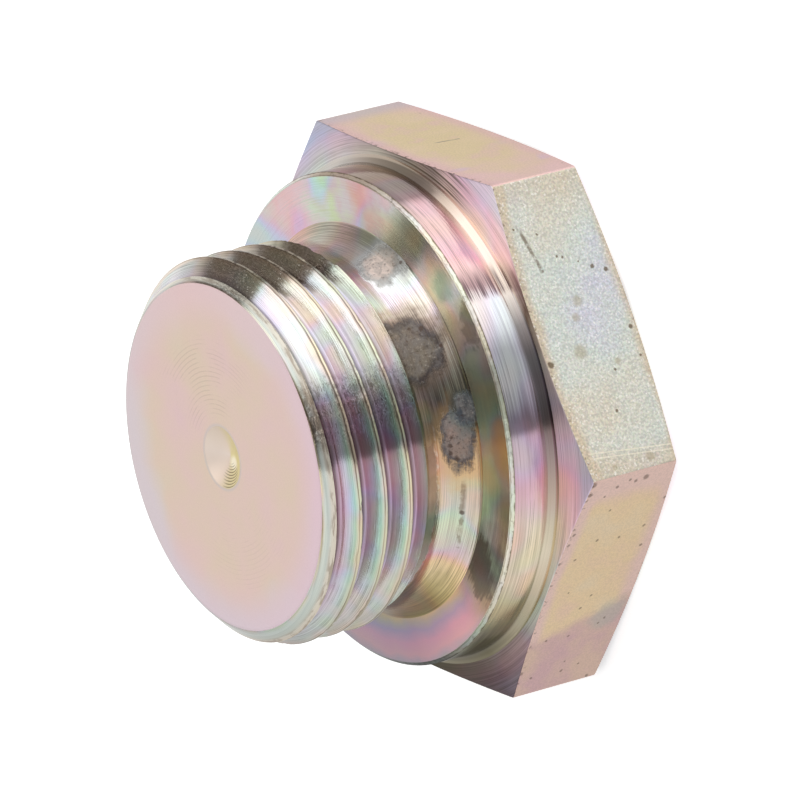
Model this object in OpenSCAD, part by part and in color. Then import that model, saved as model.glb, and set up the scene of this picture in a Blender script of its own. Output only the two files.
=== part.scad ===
// Threaded plug: a hexagon head, a round sealing collar and a short fine-threaded shank.
// It is turned from hexagon bar in one piece, so the model is made the same way: a bar that
// carries the hexagon and the thread is cut to the outline that the turning leaves.
// It stands on the back of its head, with the thread pointing up.

/* [Hexagon head] */
// Width across the flats
across_flats = 27; // [26.6:0.1:32]
// Height of the head, from its back to the foot of the collar
head_h = 6; // [4:0.1:12]
// Slope of the turned faces at the corners, in degrees
corner_slope = 10.5; // [5:0.5:30]
// Diameter of the flat on the back of the head
back_flat_d = 25.6; // [20:0.1:26.5]
// Width of the flat ring round the foot of the collar
front_ring_w = 0.05; // [0.05:0.05:0.3]

/* [Collar] */
// Diameter of the collar
collar_d = 25.5; // [23.5:0.1:25.8]
// Height of the collar above the head
collar_h = 2.5; // [1.5:0.1:6]
// Radius of the fillet at the foot of the collar
foot_r = 0.4; // [0.1:0.05:0.5]
// Width of the bevel on the rim of the collar
rim_w = 0.2; // [0.1:0.05:0.6]

/* [Thread] */
// Outer diameter of the thread
thread_d = 20; // [17:0.5:22]
// Distance from one crest to the next
pitch = 1.5; // [1:0.25:2]
// Length of the shank, from the collar to its end
shank_l = 8.7; // [7:0.1:30]
// Turn of the thread about the axis, in degrees
thread_turn = 90; // [0:5:355]
// Width of the bevel on the end of the thread
end_bevel_w = 1.05; // [0.6:0.05:1.4]
// Radius that softens the edge of the end face
end_edge_r = 0.5; // [0.2:0.05:0.8]

/* [Undercut] */
// Length of the undercut, from the collar to the first crest
undercut_l = 3.2; // [3:0.1:4.5]
// Depth of the undercut below the root of the thread
undercut_depth = 0.1; // [0.05:0.05:0.3]
// Step from the thread's crest out to the edge of the undercut in the collar's face
undercut_step = 0.25; // [0.1:0.05:0.5]
// Radius of the fillet between the undercut and the collar
undercut_r = 2; // [1.6:0.1:2.4]
// Slope of the undercut's wall at the thread, in degrees from the face
undercut_slope = 40; // [30:1:45]

/* [Centre mark] */
// Diameter of the mark in the end face
mark_d = 3.2; // [1:0.1:6]
// Slope of the mark's dish at its edge, in degrees from the face
mark_slope = 35; // [15:1:60]

/* [Hidden] */

steel = [0.78, 0.72, 0.66];
round_fn = 96;      // facets of the round surfaces in a preview
turn_fn = 48;       // facets in one turn of the thread
over = 0.6;         // how far the bar stands past the turned outline

// Standard proportions of a metric thread with 60 degree flanks
flank_angle = 30;
thread_depth = 0.6134 * pitch;
crest_w = pitch / 8;

flats_r = across_flats / 2;
corner_r = flats_r / cos(30);
collar_r = collar_d / 2;
front_ring_r = collar_r + foot_r + front_ring_w;
crest_r = thread_d / 2;
root_r = crest_r - thread_depth;

face_z = head_h + collar_h;                 // sealing face of the collar
end_z = face_z + shank_l;                   // end of the shank
neck_r = root_r - undercut_depth;
mouth_r = crest_r + undercut_step;
fillet_h = sqrt(pow(undercut_r, 2) - pow(undercut_r - (mouth_r - neck_r), 2));
fillet_z = face_z + fillet_h;               // where the fillet runs into the neck
wall_h = (crest_r - neck_r) * tan(undercut_slope);
end_face_r = crest_r - end_bevel_w;
edge_cut = end_edge_r * tan(45 / 2);        // length that the softened edge takes off each side
dish_r = mark_d / 2 / sin(mark_slope);      // radius of the ball that would fill the centre mark

// Outline that the turning leaves, as half a section: radius across, height up
module turned_outline() {
    difference() {
        polygon([
            [0, 0],
            [back_flat_d / 2, 0],
            [corner_r + over, (corner_r + over - back_flat_d / 2) * tan(corner_slope)],
            [corner_r + over, head_h - (corner_r + over - front_ring_r) * tan(corner_slope)],
            [front_ring_r, head_h],
            [collar_r + foot_r, head_h],
            [collar_r, head_h + foot_r],
            [collar_r, face_z - rim_w],
            [collar_r - rim_w, face_z],
            [mouth_r, face_z],
            [neck_r, fillet_z],
            [neck_r, face_z + undercut_l - wall_h],
            [crest_r, face_z + undercut_l],
            [crest_r, end_z - end_bevel_w],
            [end_face_r + edge_cut * cos(45), end_z - edge_cut * sin(45)],
            [end_face_r - edge_cut, end_z],
            [0, end_z]
        ]);
        // Dish of the centre mark
        translate([0, end_z + dish_r * cos(mark_slope)]) circle(dish_r, $fn = round_fn);
        // Fillet at the foot of the collar
        translate([collar_r + foot_r, head_h + foot_r]) circle(foot_r, $fn = round_fn);
        // Fillet from the collar's face down to the neck
        intersection() {
            translate([neck_r + undercut_r, fillet_z]) circle(undercut_r, $fn = round_fn);
            translate([neck_r, face_z]) square([mouth_r - neck_r, fillet_h]);
        }
    }
    // Softened edge of the end face
    translate([end_face_r - edge_cut, end_z - end_edge_r]) circle(end_edge_r, $fn = round_fn);
}

module turned_blank() {
    rotate_extrude($fn = round_fn) turned_outline();
}

// Section of the thread's ridge at a given turn: its foot lies inside the shank, and its flanks
// run on past the crest, which the turned outline cuts flat
ridge_in = 0.12 * pitch;
ridge_out = 0.12;
function half_w(r) = crest_w / 2 + (crest_r - r) * tan(flank_angle);
function ridge_section(k) =
    let (a = 360 * k / turn_fn + thread_turn, z = face_z + pitch * k / turn_fn)
    [for (p = [[root_r - ridge_in, -1], [crest_r + ridge_out, -1], [crest_r + ridge_out, 1], [root_r - ridge_in, 1]])
        [p[0] * cos(a), p[0] * sin(a), z + p[1] * half_w(p[0])]];

// Helical ridge of the thread, from inside the undercut to past the end face
module thread_ridge() {
    first = turn_fn;
    last = ceil((shank_l / pitch + 1) * turn_fn);
    rings = last - first;
    points = [for (k = [first : last]) each ridge_section(k)];
    sides = [for (k = [0 : rings - 1], s = [0 : 3])
        let (a = 4 * k + s, b = 4 * k + (s + 1) % 4)
        each [[a, b, b + 4], [a, b + 4, a + 4]]];
    caps = [[3, 2, 1, 0], [4 * rings, 4 * rings + 1, 4 * rings + 2, 4 * rings + 3]];
    polyhedron(points = points, faces = concat(sides, caps), convexity = 10);
}

// Bar before it is turned: hexagon, stub for the undercut's fillet and threaded shank
module threaded_bar() {
    translate([0, 0, -over]) cylinder(h = face_z + 2 * over, r = corner_r, $fn = 6);
    translate([0, 0, face_z - over]) cylinder(h = fillet_h + over, r = mouth_r + over, $fn = round_fn);
    translate([0, 0, face_z - over]) cylinder(h = shank_l + 2 * over, r = root_r, $fn = round_fn);
    thread_ridge();
}

module plug() {
    color(steel)
        intersection() {
            turned_blank();
            threaded_bar();
        }
}

plug();
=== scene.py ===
"""Threaded plug: a hexagon head, a sealing collar and a short fine-threaded shank, zinc plated.

The plug stands on the back of its head with its thread up. It is made here as it is made on a
lathe: a turned blank, the hexagon of the bar, and a thread cut into the shank.
All sizes are in millimetres and are the same as in the part's source.
"""
import math

import bpy
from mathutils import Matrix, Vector, noise


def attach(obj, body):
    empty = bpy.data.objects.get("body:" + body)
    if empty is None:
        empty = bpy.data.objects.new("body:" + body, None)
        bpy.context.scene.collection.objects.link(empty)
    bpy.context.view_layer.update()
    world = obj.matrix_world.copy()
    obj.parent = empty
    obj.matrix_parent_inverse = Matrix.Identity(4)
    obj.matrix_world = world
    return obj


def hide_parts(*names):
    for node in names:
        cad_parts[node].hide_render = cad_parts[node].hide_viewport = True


MM = 0.001

# Sizes of the plug, as in the part's source
ACROSS_FLATS = 27
HEAD_H = 6
CORNER_SLOPE = 10.5
BACK_FLAT_R = 12.8
COLLAR_R = 12.75
COLLAR_H = 2.5
FOOT_R = 0.4
FRONT_RING_R = 13.2
RIM_W = 0.2
THREAD_R = 10
PITCH = 1.5
SHANK_L = 8.7
END_BEVEL_W = 1.05
END_EDGE_R = 0.5
UNDERCUT_L = 3.2
UNDERCUT_DEPTH = 0.1
UNDERCUT_R = 2
UNDERCUT_SLOPE = 40
MOUTH_R = 10.25
MARK_R = 1.6
MARK_SLOPE = 35

FACE_Z = HEAD_H + COLLAR_H
END_Z = FACE_Z + SHANK_L
ROOT_R = THREAD_R - 0.6134 * PITCH
NECK_R = ROOT_R - UNDERCUT_DEPTH
CORNER_R = ACROSS_FLATS / 2 / math.cos(math.radians(30))
TAN_CORNER = math.tan(math.radians(CORNER_SLOPE))
TAN_FLANK = math.tan(math.radians(30))
RUNOUT_Z = FACE_Z + UNDERCUT_L
WALL_FOOT_Z = RUNOUT_Z - (THREAD_R - NECK_R) * math.tan(math.radians(UNDERCUT_SLOPE))
DISH_R = MARK_R / math.sin(math.radians(MARK_SLOPE))

# Detail finer than the part's tolerances: bevels along the hexagon's corners and the ends of its
# flats, and nicks of the crests, which begin at a level of the noise
CORNER_BEVEL = 0.14
FLAT_BEVEL = 0.05
NICK_START = 0.42
NICK_DEPTH = 0.14

# Fineness of the mesh, with the gap between merged vertices in metres
BLANK_STEPS = 360
THREAD_STEPS = 240
GROOVE_TURNS = 6
MERGE_GAP = 2e-7
SMOOTH_ANGLE = 26

# Slack for telling on which surface a face lies, and on the collar's face
SLACK = 0.02
FACE_SLACK = 0.01

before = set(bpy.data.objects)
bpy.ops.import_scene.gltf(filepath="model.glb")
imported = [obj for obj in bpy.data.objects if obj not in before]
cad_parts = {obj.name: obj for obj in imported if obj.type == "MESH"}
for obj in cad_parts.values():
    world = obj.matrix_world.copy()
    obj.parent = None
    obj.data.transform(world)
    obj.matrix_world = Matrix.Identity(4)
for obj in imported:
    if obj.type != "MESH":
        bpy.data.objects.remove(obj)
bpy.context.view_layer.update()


# Modelling

def deselect():
    bpy.ops.object.select_all(action="DESELECT")


def arc(centre_r, centre_z, radius, start, end, steps):
    """Points of an arc in the half section, from one angle to another, in degrees."""
    turns = [math.radians(start + (end - start) * k / steps) for k in range(steps + 1)]
    return [(centre_r + radius * math.cos(a), centre_z + radius * math.sin(a)) for a in turns]


def draw(name, points, closed=False):
    """An object that holds one line through points of the half section, drawn by extruding a vertex."""
    deselect()
    bpy.ops.mesh.primitive_plane_add(size=MM, location=(0, 0, 0))
    piece = bpy.context.object
    piece.name = piece.data.name = name
    bpy.ops.object.mode_set(mode="EDIT")
    bpy.ops.mesh.merge(type="CENTER")
    r, z = points[0]
    bpy.ops.transform.translate(value=(r * MM, 0, z * MM))
    for next_r, next_z in points[1:]:
        step = ((next_r - r) * MM, 0, (next_z - z) * MM)
        bpy.ops.mesh.extrude_region_move(TRANSFORM_OT_translate={"value": step})
        r, z = next_r, next_z
    if closed:
        bpy.ops.mesh.select_all(action="SELECT")
        bpy.ops.mesh.remove_doubles(threshold=MERGE_GAP)
    bpy.ops.object.mode_set(mode="OBJECT")
    return piece


def tidy_mesh(piece):
    """Merges the vertices that lie on each other and points every face outwards."""
    bpy.context.view_layer.objects.active = piece
    bpy.ops.object.mode_set(mode="EDIT")
    bpy.ops.mesh.select_all(action="SELECT")
    bpy.ops.mesh.remove_doubles(threshold=MERGE_GAP)
    bpy.ops.mesh.dissolve_degenerate(threshold=MERGE_GAP)
    bpy.ops.mesh.normals_make_consistent(inside=False)
    bpy.ops.object.mode_set(mode="OBJECT")


def cut(piece, tool, operation):
    """Cuts piece with tool, or keeps what both hold, and takes the tool away."""
    deselect()
    bpy.context.view_layer.objects.active = piece
    bpy.ops.object.modifier_add(type="BOOLEAN")
    modifier = piece.modifiers[-1]
    modifier.operation = operation
    modifier.object = tool
    modifier.solver = "MANIFOLD"
    bpy.ops.object.modifier_apply(modifier=modifier.name)
    tool.select_set(True)
    bpy.ops.object.delete()


def turned_blank():
    """The outline that the turning leaves, spun round the axis."""
    fillet_h = math.sqrt(UNDERCUT_R ** 2 - (UNDERCUT_R - (MOUTH_R - NECK_R)) ** 2)
    over = CORNER_R + 0.6
    edge_cut = END_EDGE_R * math.tan(math.radians(45 / 2))
    face_r = THREAD_R - END_BEVEL_W
    dish_z = END_Z + DISH_R * math.cos(math.radians(MARK_SLOPE))
    mouth_turn = math.degrees(math.asin(fillet_h / UNDERCUT_R))
    outline = [(0, 0), (BACK_FLAT_R - 1, 0), (BACK_FLAT_R, 0)]
    outline += [(over, (over - BACK_FLAT_R) * TAN_CORNER)]
    outline += [(over, HEAD_H - (over - FRONT_RING_R) * TAN_CORNER), (FRONT_RING_R, HEAD_H)]
    outline += arc(COLLAR_R + FOOT_R, HEAD_H + FOOT_R, FOOT_R, 270, 180, 8)
    outline += [(COLLAR_R, FACE_Z - RIM_W), (COLLAR_R - RIM_W, FACE_Z), (MOUTH_R, FACE_Z)]
    outline += arc(NECK_R + UNDERCUT_R, FACE_Z + fillet_h, UNDERCUT_R, 180 + mouth_turn, 180, 14)
    outline += [(NECK_R, WALL_FOOT_Z), (THREAD_R, RUNOUT_Z), (THREAD_R, END_Z - END_BEVEL_W)]
    outline += arc(face_r - edge_cut, END_Z - END_EDGE_R, END_EDGE_R, 45, 90, 8)
    outline += arc(0, dish_z, DISH_R, MARK_SLOPE - 90, -89, 10) + [(0, dish_z - DISH_R)]
    blank = draw("plug_in_zinc", outline)
    bpy.ops.object.mode_set(mode="EDIT")
    bpy.ops.mesh.select_all(action="SELECT")
    bpy.ops.mesh.spin(steps=BLANK_STEPS, angle=math.tau, center=(0, 0, 0), axis=(0, 0, 1))
    bpy.ops.object.mode_set(mode="OBJECT")
    tidy_mesh(blank)
    return blank


def hexagon_bar():
    """The bar that the plug is turned from, with its corners bevelled."""
    deselect()
    bpy.ops.mesh.primitive_cylinder_add(
        vertices=6, radius=CORNER_R * MM, depth=4 * END_Z * MM, rotation=(0, 0, math.radians(30)))
    bar = bpy.context.object
    bpy.ops.object.transform_apply(location=False, rotation=True, scale=False)
    bpy.ops.object.mode_set(mode="EDIT")
    bpy.ops.mesh.select_all(action="DESELECT")
    bpy.ops.object.mode_set(mode="OBJECT")
    for edge in bar.data.edges:
        ends = [bar.data.vertices[v].co for v in edge.vertices]
        edge.select = abs(ends[0].z - ends[1].z) > END_Z * MM
    bpy.ops.object.mode_set(mode="EDIT")
    bpy.ops.mesh.bevel(offset=CORNER_BEVEL * MM, segments=3, affect="EDGES")
    bpy.ops.object.mode_set(mode="OBJECT")
    return bar


def groove_cutter():
    """The groove between two crests, with a rounded root and softened crests, wound into a helix."""
    def half_w(r):
        return PITCH / 2 - PITCH / 16 - (THREAD_R - r) * TAN_FLANK

    # One side of the groove, as radius and half the width: root, straight flank and softened crest
    side = [(ROOT_R, 0), (ROOT_R + 0.012, 0.055), (ROOT_R + 0.05, half_w(ROOT_R) + 0.004)]
    side += [(r, half_w(r)) for r in (ROOT_R + 0.12, THREAD_R - 0.07)]
    side += [(THREAD_R - 0.03, half_w(THREAD_R - 0.03) + 0.008)]
    side += [(THREAD_R - 0.008, half_w(THREAD_R) + 0.016), (THREAD_R, half_w(THREAD_R) + 0.04)]
    side += [(THREAD_R + 0.1, PITCH / 2 - 0.004)]
    middle = FACE_Z + 1.25 * PITCH
    section = [(r, middle + w) for r, w in side] + [(r, middle - w) for r, w in reversed(side[1:])]
    cutter = draw("groove_cutter", section + section[:1], closed=True)
    bpy.ops.object.modifier_add(type="SCREW")
    screw = cutter.modifiers[-1]
    screw.axis = "Z"
    screw.angle = math.tau
    screw.screw_offset = PITCH * MM
    screw.iterations = GROOVE_TURNS
    screw.steps = screw.render_steps = THREAD_STEPS
    bpy.ops.object.modifier_apply(modifier=screw.name)
    bpy.ops.object.mode_set(mode="EDIT")
    bpy.ops.mesh.select_all(action="DESELECT")
    bpy.ops.mesh.select_non_manifold(extend=False, use_boundary=True, use_wire=False,
                                     use_multi_face=False, use_non_contiguous=False, use_verts=False)
    bpy.ops.mesh.fill_holes(sides=0)
    bpy.ops.object.mode_set(mode="OBJECT")
    tidy_mesh(cutter)
    return cutter


def soften_head_edges(piece):
    """A narrow bevel along the edges where the hexagon's flats meet the turned slopes and the back."""
    mesh = piece.data
    kinds = {}
    for face in mesh.polygons:
        across = math.hypot(face.center.x, face.center.y) / MM
        if face.center.z / MM < HEAD_H - SLACK and across > BACK_FLAT_R:
            kind = "flat" if abs(face.normal.z) < SLACK else "slope"
            for key in face.edge_keys:
                kinds.setdefault(key, set()).add(kind)
    bpy.context.view_layer.objects.active = piece
    bpy.ops.object.mode_set(mode="EDIT")
    bpy.ops.mesh.select_mode(type="EDGE")
    bpy.ops.mesh.select_all(action="DESELECT")
    bpy.ops.object.mode_set(mode="OBJECT")
    for edge in mesh.edges:
        edge.select = kinds.get(edge.key) == {"flat", "slope"}
    bpy.ops.object.mode_set(mode="EDIT")
    bpy.ops.mesh.bevel(offset=FLAT_BEVEL * MM, segments=2, affect="EDGES", clamp_overlap=True)
    bpy.ops.object.mode_set(mode="OBJECT")


def wear_thread(piece):
    """Nicks in the crests and the ragged edge where the thread runs out into the undercut."""
    band = 0.12
    for vertex in piece.data.vertices:
        place = vertex.co / MM
        r = math.hypot(place.x, place.y)
        if not RUNOUT_Z - 0.1 < place.z < END_Z - 0.9 or r < THREAD_R - band:
            continue
        fine, coarse = noise.noise(place * 2.6), noise.noise(place * 0.9 + Vector((3, 1, 7)))
        depth = max(0.0, fine + 0.5 * coarse - NICK_START) * NICK_DEPTH
        if abs(place.z - RUNOUT_Z) < band:
            depth += 0.03 + 0.05 * abs(fine)
            vertex.co.z += (0.02 + 0.09 * abs(fine + coarse)) * MM
        vertex.co.x *= 1 - depth / r
        vertex.co.y *= 1 - depth / r


plug = turned_blank()
cut(plug, groove_cutter(), "DIFFERENCE")
cut(plug, hexagon_bar(), "INTERSECT")
tidy_mesh(plug)
soften_head_edges(plug)
wear_thread(plug)

deselect()
plug.select_set(True)
bpy.context.view_layer.objects.active = plug
bpy.ops.object.shade_smooth_by_angle(angle=math.radians(SMOOTH_ANGLE))
# The turned slopes of the head stay flat
for face in plug.data.polygons:
    if 0 < face.center.z < HEAD_H * MM and 0.5 < abs(face.normal.z) < 0.999:
        face.use_smooth = False
bpy.ops.object.modifier_add(type="WEIGHTED_NORMAL")
plug.modifiers[-1].keep_sharp = True
bpy.ops.object.modifier_apply(modifier=plug.modifiers[-1].name)


# Materials

class Wire:
    """The output of a shader node. A sum or product of wires adds the Math nodes that work it out."""

    def __init__(self, bench, socket):
        self.bench, self.socket = bench, socket

    def __add__(self, other):
        return self.bench.number("ADD", self, other)

    __radd__ = __add__

    def __sub__(self, other):
        return self.bench.number("SUBTRACT", self, other)

    def __rsub__(self, other):
        return self.bench.number("SUBTRACT", other, self)

    def __mul__(self, other):
        return self.bench.number("MULTIPLY", self, other)

    def __truediv__(self, other):
        return self.bench.number("DIVIDE", self, other)

    def __pow__(self, other):
        return self.bench.number("POWER", self, other)


class Bench:
    """The node tree of one material or of the world."""

    def __init__(self, owner):
        owner.use_nodes = True
        self.tree = owner.node_tree
        self.tree.nodes.clear()

    def node(self, kind, settings=None, sockets=None, out=0):
        """Adds a node, with its settings first and then the values or wires of its sockets."""
        added = self.tree.nodes.new("ShaderNode" + kind)
        for name, value in (settings or {}).items():
            setattr(added, name, value)
        for name, value in (sockets or {}).items():
            if isinstance(value, Wire):
                self.tree.links.new(value.socket, added.inputs[name])
            else:
                added.inputs[name].default_value = value
        return Wire(self, added.outputs[out]) if added.outputs else None

    def number(self, operation, *values):
        """The result of a Math node."""
        return self.node("Math", {"operation": operation}, dict(enumerate(values)))

    def vector(self, operation, *values, **named):
        """The result of a Vector Math node."""
        out = "Value" if operation in ("LENGTH", "DISTANCE", "DOT_PRODUCT") else "Vector"
        sockets = {**dict(enumerate(values)), **named}
        return self.node("VectorMath", {"operation": operation}, sockets, out)

    def parts(self, vector):
        """The three numbers of a vector."""
        return [self.node("SeparateXYZ", None, {0: vector}, axis) for axis in "XYZ"]

    def between(self, value, low, high):
        """0 where value is below low and 1 where it is above high, or the other way round."""
        sockets = {"Value": value, "From Min": low, "From Max": high}
        return self.node("MapRange", {"interpolation_type": "SMOOTHSTEP"}, sockets)

    def clamped(self, value):
        return self.node("Clamp", None, {0: value})

    def ramp(self, value, stops):
        """Turns a value into colours, from pairs of a place and what rgba takes."""
        result = self.node("ValToRGB", None, {0: value})
        ramp = result.socket.node.color_ramp
        while len(ramp.elements) < len(stops):
            ramp.elements.new(0.5)
        for element, (place, colour) in zip(ramp.elements, stops):
            element.position = place
            element.color = rgba(colour)
        return result

    def mix(self, share, first, second, kind="MIX"):
        """Mixes two colours, each a wire or what rgba takes."""
        first, second = (c if isinstance(c, Wire) else rgba(c) for c in (first, second))
        settings = {"data_type": "RGBA", "blend_type": kind}
        return self.node("Mix", settings, {0: share, 6: first, 7: second}, 2)


def rgba(colour):
    """The colour of a socket, from one as a screen shows it, from 0 to 255, or from a level of grey."""
    if isinstance(colour, tuple):
        return (*(((c / 255 + 0.055) / 1.055) ** 2.4 for c in colour), 1)
    return (colour, colour, colour, 1)


def turn_at(angle):
    """The turn about the axis, from 0 to 1, at an angle in degrees."""
    return angle / 360 + 0.5


def by_angle(*pairs):
    """Ramp stops from pairs of an angle about the axis, in degrees, and a colour.

    Those that start at -180 close the round with their first colour."""
    stops = [(turn_at(angle), colour) for angle, colour in pairs]
    return stops + [(1.0, pairs[0][1])] if stops[0][0] == 0 else stops


class Surface(Bench):
    """The bench of one of the plug's finishes, with the place on the plug at hand, in millimetres."""

    def __init__(self, name):
        self.material = bpy.data.materials.new(name)
        super().__init__(self.material)
        self.place = self.vector("SCALE", self.node("TexCoord", None, None, "Object"), Scale=1 / MM)
        self.x, self.y, self.z = self.parts(self.place)
        self.r = (self.x * self.x + self.y * self.y) ** 0.5
        self.turn = self.number("ARCTAN2", self.y, self.x) / math.tau + 0.5

    def grain(self, size, detail=2.0, at=None, shift=0.0, rough=0.5):
        """Noise from 0 to 1 with features of about this size."""
        at = at or self.place
        if shift:
            at = self.vector("ADD", at, (shift, -shift, shift))
        sockets = {"Vector": at, "Scale": 1 / size, "Detail": detail, "Roughness": rough}
        return self.node("TexNoise", None, sockets)

    def cuts(self, spacing, reach, detail=3.0):
        """Turning marks: noise that is fine across the cut and drawn out round the axis."""
        x, y = self.x / self.r * reach, self.y / self.r * reach
        at = self.node("CombineXYZ", None, {0: x, 1: y, 2: (self.z - self.r * 1.3) / spacing})
        return self.grain(1.0, detail, at, rough=0.6)

    def wobble(self, size, amount, detail=2.0, shift=0.0, rough=0.5):
        """Noise about zero, which makes an edge ragged or a line unsteady."""
        return (self.grain(size, detail, shift=shift, rough=rough) - 0.5) * amount

    def beyond(self, start, full, waver=None):
        """0 before one angle about the axis and 1 past another, in degrees."""
        turn = self.turn + waver if waver else self.turn
        return self.between(turn, turn_at(start), turn_at(full))

    def sector(self, start, full, fading, end, waver=None):
        """1 over a stretch of angles about the axis, in degrees, and 0 outside it."""
        return self.beyond(start, full, waver) * self.beyond(end, fading, waver)

    def around(self, *pairs):
        """A colour that changes round the axis, from pairs of an angle and a colour."""
        return self.ramp(self.turn, by_angle(*pairs))

    def dimmed(self, colour, amount):
        return self.mix(1.0, colour, amount, "MULTIPLY")

    def passivated(self, colour, thickness, strength):
        """Lays the rainbow tints of a passivation film of varied thickness over a colour."""
        tints = self.ramp(thickness, [
            (0.0, (255, 250, 225)), (0.22, (255, 236, 190)), (0.4, (255, 212, 208)),
            (0.52, (240, 212, 244)), (0.64, (214, 230, 255)), (0.78, (214, 252, 230)),
            (1.0, (252, 250, 200))])
        return self.mix(strength, colour, tints, "MULTIPLY")

    def gap_to(self, centre, stretch=(1, 1, 1), at=None):
        """Distance to a point, with some directions counted for more."""
        offset = self.vector("SUBTRACT", at or self.place, centre)
        return self.vector("LENGTH", self.vector("MULTIPLY", offset, stretch))

    def patch(self, centre, outer, inner, stretch=(1, 1, 1), size=0.8, ragged=1.2):
        """1 in a ragged patch round a point and 0 outside it."""
        return self.between(self.gap_to(centre, stretch) + self.wobble(size, ragged, 3.0), outer, inner)

    def specks(self, at, places):
        """1 on small specks and 0 between them. Each place is given with the speck's radius."""
        mask = 0.0
        ragged = self.grain(0.12, 1.0) * 0.1 - 0.05
        for *place, radius in places:
            gap = self.vector("DISTANCE", at, tuple(place))
            mask = self.between(gap + ragged, radius * 1.2, radius * 0.5) + mask
        return self.clamped(mask)

    def scratch(self, at, start, end, width):
        """1 on a straight scratch between two points and 0 away from it."""
        start, end = Vector(start), Vector(end)
        run = end - start
        offset = self.vector("SUBTRACT", at, start)
        share = self.clamped(self.vector("DOT_PRODUCT", offset, run / run.length_squared))
        gap = self.vector("DISTANCE", offset, self.vector("SCALE", tuple(run), Scale=share))
        return self.between(gap, width, width * 0.3)

    def finish(self, colour, roughness, metallic, height):
        """Ends the material. Height is in millimetres."""
        normal = self.node("Bump", None, {"Strength": 1.0, "Distance": MM, "Height": height})
        sockets = {"Base Color": colour, "Roughness": roughness, "Metallic": metallic, "Normal": normal}
        self.node("OutputMaterial", None, {"Surface": self.node("BsdfPrincipled", None, sockets)})
        return self.material


def end_face_finish():
    """Satin pink-beige, with a lilac border, greenish clouds and faint rings round the mark."""
    s = Surface("zinc_end_face")
    clouds = s.grain(4.5, 3.0)
    colour = s.ramp(clouds, [
        (0.3, (230, 200, 199)), (0.44, (230, 203, 193)), (0.58, (228, 206, 187)),
        (0.74, (224, 210, 187))])
    border = s.between(s.r + (clouds - 0.5) * 3.0, 6.4, 8.6)
    lilac = s.around(
        (-180, (222, 211, 217)), (-90, (222, 206, 216)), (0, (232, 203, 215)), (60, (230, 206, 211)),
        (110, (234, 204, 205)))
    colour = s.mix(border * 0.85, colour, lilac)

    # Faint rings of the cut, on two opposite sides
    side = math.radians(112)
    sideways = (s.x * math.cos(side) + s.y * math.sin(side)) / s.r
    wave = s.number("SINE", s.r * 27 + s.grain(3.0) * 5)
    ringed = s.between(sideways, 0.5, 0.9) * s.between(s.r, 1.9, 2.6) * s.between(s.r, 6.6, 5.4)
    opposite = s.between(sideways, -0.7, -0.95) * s.between(s.r, 2.6, 3.4) * s.between(s.r, 7.6, 6.4)
    ringed = ringed + opposite * 0.4
    faint = s.between(wave, 0.6, 1.0) * ringed * s.between(s.grain(1.2, 3.0, shift=5.0), 0.42, 0.62)
    colour = s.mix(faint * 0.24, colour, (160, 134, 118))
    colour = s.dimmed(colour, s.grain(0.09) * 0.1 + 0.89)

    # Centre mark: a pale rim, colours round the dish that are partly tint and partly painted shading, a
    # painted glint in the middle, and turning rings on one side darkened as painted reflection
    mark = s.between(s.r, MARK_R + 0.05, MARK_R - 0.05)
    ring = s.between(s.r, MARK_R - 0.16, MARK_R) * s.between(s.r, MARK_R + 0.22, MARK_R + 0.04)
    colour = s.mix(ring * 0.4, colour, (186, 186, 192))
    # Colours round the dish: partly tint, partly painted shading of its slopes
    dish_tints_and_shading = s.around(
        (-180, (232, 216, 204)), (-110, (226, 206, 190)), (-80, (222, 206, 164)), (0, (228, 214, 150)),
        (64, (228, 212, 160)), (110, (232, 214, 196)))
    # Painted glint: a cream spot in the middle of the dish
    dish_tints_and_shading = s.mix(s.between(s.gap_to((0.35, -0.3, 0), (1, 1, 0)), 0.5, 0.15), dish_tints_and_shading, (250, 240, 214))
    # Painted dark reflection in the turning rings on one side
    reflection_side = s.between(s.gap_to((0.45, -1.05, 0), (1, 1, 0)) + s.grain(0.5) * 0.4, 1.05, 0.6)
    turned = s.between(s.number("SINE", s.r * 46), 0.0, 0.8)
    dish_tints_and_shading = s.mix(reflection_side * turned * 0.8, dish_tints_and_shading, (112, 94, 60))
    colour = s.mix(mark, colour, dish_tints_and_shading)
    return s.finish(colour, 0.42, mark * -0.35 + 0.7, faint * -0.003 + s.grain(0.12) * 0.002)


def turned_finish(name, tints_and_reflections, film, spacing, dim, streaks, sway=0.03):
    """A turned surface with drawn marks, a rainbow film and tones round the axis that are partly tints
    and partly painted reflections, light and dark.

    The film is given by the size of its patches and its strength, and dim and streaks say how dark
    the marks are. Returns the bench, the colour and the marks."""
    s = Surface(name)
    film_size, film_strength = film
    marks = s.cuts(spacing, 2.0)
    waver = s.wobble(2.2, sway, 3.0) + (marks - 0.5) * 0.03
    # Colour round the axis: tints mixed with painted reflections, light and dark
    colour = s.ramp(s.turn + waver, tints_and_reflections)
    thickness = s.between(s.grain(film_size, 1.0, shift=2.0), 0.2, 0.8) + (marks - 0.5) * 0.1
    colour = s.passivated(colour, thickness, film_strength)
    colour = s.dimmed(colour, s.between(marks, 0.25, 0.7) * dim + 1.0 - 0.8 * dim)
    drawn = s.between(s.cuts(spacing * 0.7, 0.9, 2.0), 0.56, 0.68)
    drawn = drawn * s.between(s.grain(1.4, shift=7.0), 0.36, 0.6)
    colour = s.mix(drawn * streaks, colour, (74, 62, 50))
    return s, colour, marks


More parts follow.
